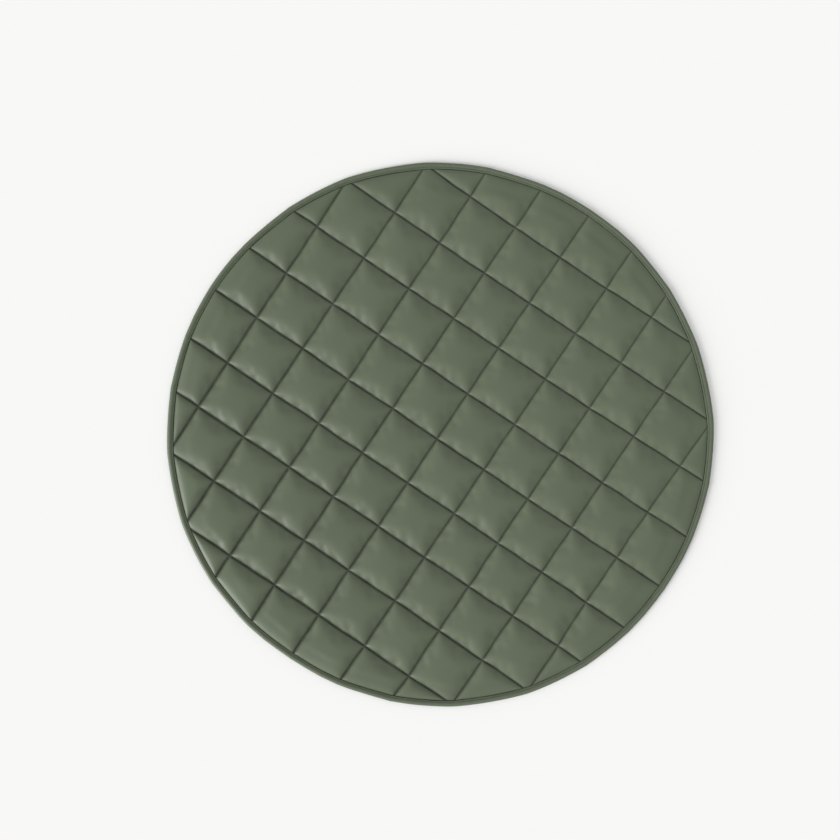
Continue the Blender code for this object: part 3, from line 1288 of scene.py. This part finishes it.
@dataclass
class Sewing:
    """All the thread of the mat: the quilting seams on both sides and the binding's stitching."""

    lay: ClothLay
    thread: SewingThread
    quilting_pitch: float = 4.1 * MM
    past_band: float = 1.5 * MM

    def build(self, pad: QuiltedPad, binding: EdgeBinding, effects: Effects) -> None:
        """Sews the mat.

        Args:
            pad: the finished pad, for the run of its seams.
            binding: the finished binding.
            effects: the shared node groups.
        """
        material = self.thread.material(effects)
        for side, (grid, places) in pad.sides.items():
            line = StitchLine(corners=6 if side is Side.FACE else 5)
            for path, from_crossing in self.seam_paths(pad, grid, places):
                line.add_run(path, self.quilting_pitch, from_crossing)
            line.build(f"quilting_thread_{side.name.lower()}", side, "pad_cloth", material)
        for side in Side:
            line = StitchLine(length=2.8 * MM, thickness=0.42 * MM, bow=0.25 * MM, lift=0.14 * MM, corners=5)
            path = binding.stitched_line(side)
            line.add_run(path, self.path_length(path) / binding.stitches)
            line.build(f"binding_thread_{side.name.lower()}", side, "binding_cloth", material)

    def seam_paths(
        self, pad: QuiltedPad, grid: CutGrid, places: np.ndarray
    ) -> list[tuple[np.ndarray, np.ndarray | None]]:
        """Follows each seam from rim to rim.

        Args:
            pad: the finished pad.
            grid: the grid of one side.
            places: the real place of each of its points.

        Returns:
            For each seam the points along it and, for a crosswise one, how far they are from the
            next crossing.
        """
        paths = []
        for seam in self.lay.even_seams():
            row = int(np.argmin(np.abs(grid.lines - seam)))
            inside = np.hypot(seam, grid.lines) < pad.band_radius + self.past_band
            paths.append((places[row, inside], self.lay.to_seam(grid.lines[inside])))
            paths.append((places[inside, row], None))
        return paths

    @staticmethod
    def path_length(path: np.ndarray) -> float:
        """Length of a path of points."""
        return float(np.linalg.norm(np.diff(path, axis=0), axis=1).sum())


@dataclass(frozen=True)
class PaleFloor:
    """Plain pale floor, matt. The colour is linear."""

    colour: tuple[float, float, float] = (0.90, 0.90, 0.892)
    roughness: float = 0.9
    gloss: float = 0.1
    half_width: float = 30.0
    below: float = 0.3 * MM

    def build(self) -> None:
        """Lays the floor just under the mat."""
        nodes = FinishNodes("pale_floor")
        nodes.shader["Base Color"].default_value = (*self.colour, 1.0)
        nodes.shader["Roughness"].default_value = self.roughness
        nodes.shader["Specular IOR Level"].default_value = self.gloss
        bm = bmesh.new()
        bmesh.ops.create_grid(bm, x_segments=1, y_segments=1, size=self.half_width)
        mesh = bpy.data.meshes.new("floor")
        bm.to_mesh(mesh)
        bm.free()
        mesh.materials.append(nodes.material)
        floor = new_object("floor", mesh)
        floor.location.z = -self.below


@dataclass(frozen=True)
class Studio:
    """Soft daylight from low at one side, a pale surround, and the camera above the mat."""

    picture_width: float = 1.376
    camera_height: float = 2.4
    camera_turn: float = 33.5
    middle: tuple[float, float] = (-0.0399, 0.0009)
    key_bearing: float = 241.0
    key_elevation: float = 19.0
    key_strength: float = 3.2
    key_softness: float = 36.0
    surround: float = 0.711

    def build(self) -> None:
        """Sets up the camera, the light and the surround."""
        scene = bpy.context.scene
        scene.view_settings.view_transform = "Standard"
        camera = bpy.data.cameras.new("camera")
        camera.sensor_width = 36.0
        camera.lens = camera.sensor_width * self.camera_height / self.picture_width
        eye = new_object("camera", camera)
        eye.location = (*self.middle, self.camera_height)
        eye.rotation_euler = (0.0, 0.0, radians(self.camera_turn))
        scene.camera = eye
        light = bpy.data.lights.new("daylight", "SUN")
        light.energy = self.key_strength
        light.angle = radians(self.key_softness)
        bearing = radians(self.key_bearing)
        rise = radians(self.key_elevation)
        towards = Vector((cos(rise) * cos(bearing), cos(rise) * sin(bearing), sin(rise)))
        new_object("daylight", light).rotation_euler = towards.to_track_quat("Z", "Y").to_euler()
        world = bpy.data.worlds.new("surround")
        world.use_nodes = True
        background = world.node_tree.nodes["Background"]
        background.inputs["Color"].default_value = (1.0, 1.0, 1.0, 1.0)
        background.inputs["Strength"].default_value = self.surround
        scene.world = world


def main() -> None:
    """Builds the dressed mat and the studio round it."""
    logging.basicConfig(level=logging.INFO)
    effects = Effects()
    lay = ClothLay()
    Studio().build()
    PaleFloor().build()
    pad = QuiltedPad(
        lay,
        # strong painted shade along the pad's seams and at its lip
        CoatedCloth("sage_coated_cloth", (0.0942, 0.1198, 0.0724), darkening=0.81),
        crown_top=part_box(PAD_NODE)[1].z,
    )
    log.info("pad: %d faces", len(pad.build(effects).data.polygons))
    binding = EdgeBinding(lay, CoatedCloth("sage_binding_cloth", (0.0980, 0.1225, 0.0760)))
    log.info("binding: %d faces", len(binding.build(effects).data.polygons))
    Sewing(lay, SewingThread("sage_thread", (0.052, 0.068, 0.042))).build(pad, binding, effects)


if __name__ == "__main__":
    main()
